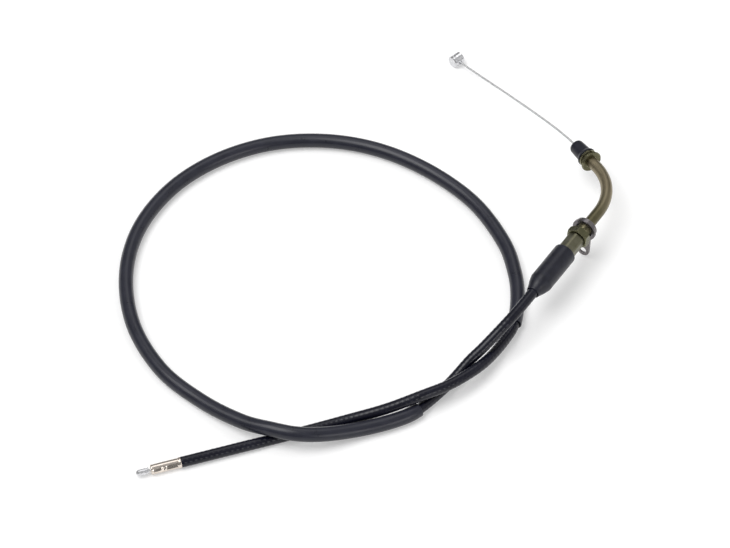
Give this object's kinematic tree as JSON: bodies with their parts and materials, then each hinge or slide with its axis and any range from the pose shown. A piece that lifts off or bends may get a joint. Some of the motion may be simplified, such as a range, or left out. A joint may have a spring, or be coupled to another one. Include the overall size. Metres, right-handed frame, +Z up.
{
  "type": "throttle cable",
  "caption": "Sheathed throttle pull cable laid in one loop: bent pipe with collar, holder plate and adjuster at the grip end, crimped ferrule at the carburettor end.",
  "frame": {"origin": "on the table, below the middle of the box round the end fittings", "axes": "+Z up from the table; +Y away from the viewer, from the carburettor end to the grip nipple; +X to the right, towards the elbow pipe"},
  "size_m": [0.2673, 0.3014, 0.0284],
  "materials": {
    "zinc": "die-cast zinc alloy, satin",
    "strand": "galvanised steel strand",
    "rubber": "moulded black rubber, matt",
    "olive_steel": "steel, olive chromated zinc plate, satin",
    "plate_steel": "stamped steel, olive chromated zinc plate",
    "olive_nut": "steel nut, yellow-olive chromated zinc plate",
    "barrel_steel": "turned steel, olive chromated zinc plate",
    "nickel": "brass, nickel plated, bright",
    "jacket_pvc": "extruded black PVC, semi-gloss",
    "sleeve_pvc": "extruded soft black PVC tube, satin",
    "winding_steel": "flat steel wire wound in a close spiral",
    "liner_plastic": "extruded low-friction plastic"
  },
  "bodies": {
    "casing": {"casing_cap": "nickel", "casing_jacket": "jacket_pvc", "casing_winding": "winding_steel", "casing_liner": "liner_plastic", "casing_wire": "strand", "protective_sleeve": "sleeve_pvc", "carb_ferrule": "nickel"},
    "boot": {"rubber_boot": "rubber"},
    "adjuster": {"adjuster_barrel": "barrel_steel"},
    "elbow": {"elbow_pipe": "olive_steel", "elbow_wire": "strand", "pipe_collar": "olive_steel", "dust_cap": "rubber"},
    "nut": {"lock_nut": "olive_nut"},
    "plate": {"holder_plate": "plate_steel"},
    "grip_end": {"grip_nipple": "zinc", "grip_wire": "strand"},
    "carb_end": {"carb_nipple": "zinc", "carb_wire": "strand"}
  },
  "joints": [
    {"name": "adjuster_turn", "type": "hinge", "parent": "casing", "child": "adjuster", "pos_m": [0.10337, -0.00897, 0.0215], "axis": [-0.5446, -0.8387, 0], "range_deg": [0, 2880]},
    {"name": "elbow_extend", "type": "slide", "parent": "casing", "child": "elbow", "axis": [0.5446, 0.8387, 0], "range_m": [0, 0.008]},
    {"name": "lock_nut_turn", "type": "hinge", "parent": "elbow", "child": "nut", "pos_m": [0.10726, -0.00297, 0.0215], "axis": [0.5446, 0.8387, 0], "range_deg": [0, 360]},
    {"name": "holder_swivel", "type": "hinge", "parent": "elbow", "child": "plate", "pos_m": [0.11086, 0.00256, 0.0215], "axis": [0.5446, 0.8387, 0], "continuous": true},
    {"name": "boot_slide", "type": "slide", "parent": "casing", "child": "boot", "axis": [-0.5446, -0.8387, 0], "range_m": [0, 0.012]},
    {"name": "wire_pull", "type": "slide", "parent": "elbow", "child": "grip_end", "axis": [0.6259, -0.7674, 0.1389], "range_m": [0, 0.022], "deforming": ["grip_wire"]},
    {"name": "carb_wire_out", "type": "slide", "parent": "casing", "child": "carb_end", "axis": [-0.9522, -0.3053, 0], "range_m": [0, 0.022]}
  ],
  "couplings": [
    {"joint": "adjuster_turn", "follows": "elbow_extend", "rad_per_m": 6283.2},
    {"joint": "carb_wire_out", "follows": "wire_pull", "ratio": 1}
  ]
}
